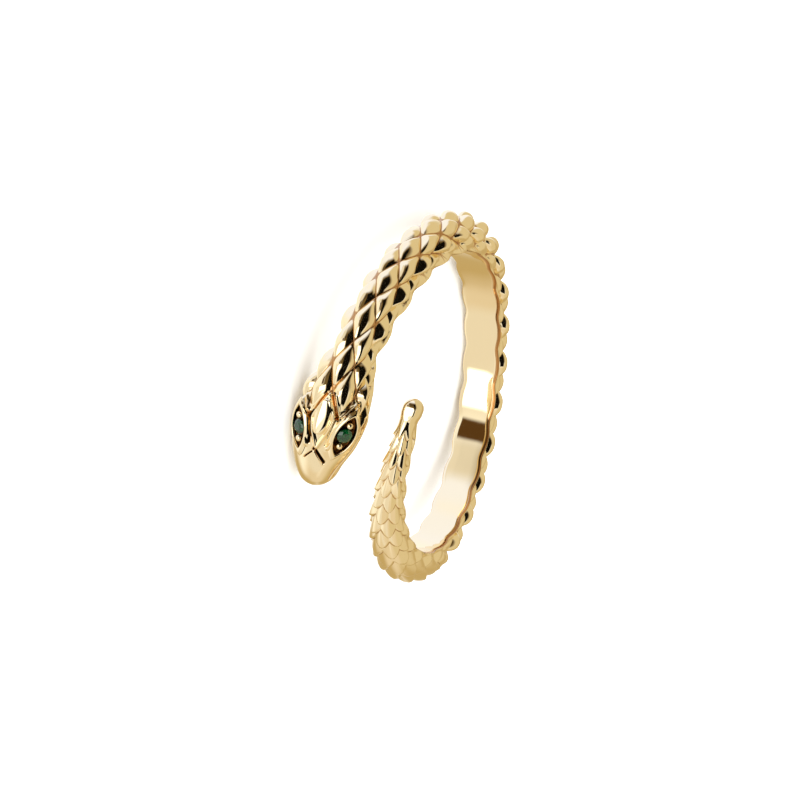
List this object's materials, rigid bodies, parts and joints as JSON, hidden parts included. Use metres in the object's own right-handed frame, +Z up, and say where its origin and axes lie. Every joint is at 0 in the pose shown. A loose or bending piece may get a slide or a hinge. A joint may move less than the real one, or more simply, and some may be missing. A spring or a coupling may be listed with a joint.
{
  "type": "snake ring",
  "caption": "Open finger ring cast as a scaled snake whose head and tail pass side by side, with a round green cut stone set in each eye.",
  "frame": {"origin": "centre of the bounding box's base, on the surface that the ring lies on", "axes": "+Z up; the finger axis leans 10 degrees from it towards +Y; the snake's head is at the front, -Y; +X is to its right"},
  "size_m": [0.021, 0.0218, 0.0068],
  "materials": {
    "gold": "polished pale yellow gold alloy",
    "emerald": "faceted green emerald or glass of that colour"
  },
  "bodies": {
    "root": {"snake_band": "gold", "eye_stone_right": "emerald", "eye_stone_left": "emerald"}
  },
  "joints": []
}
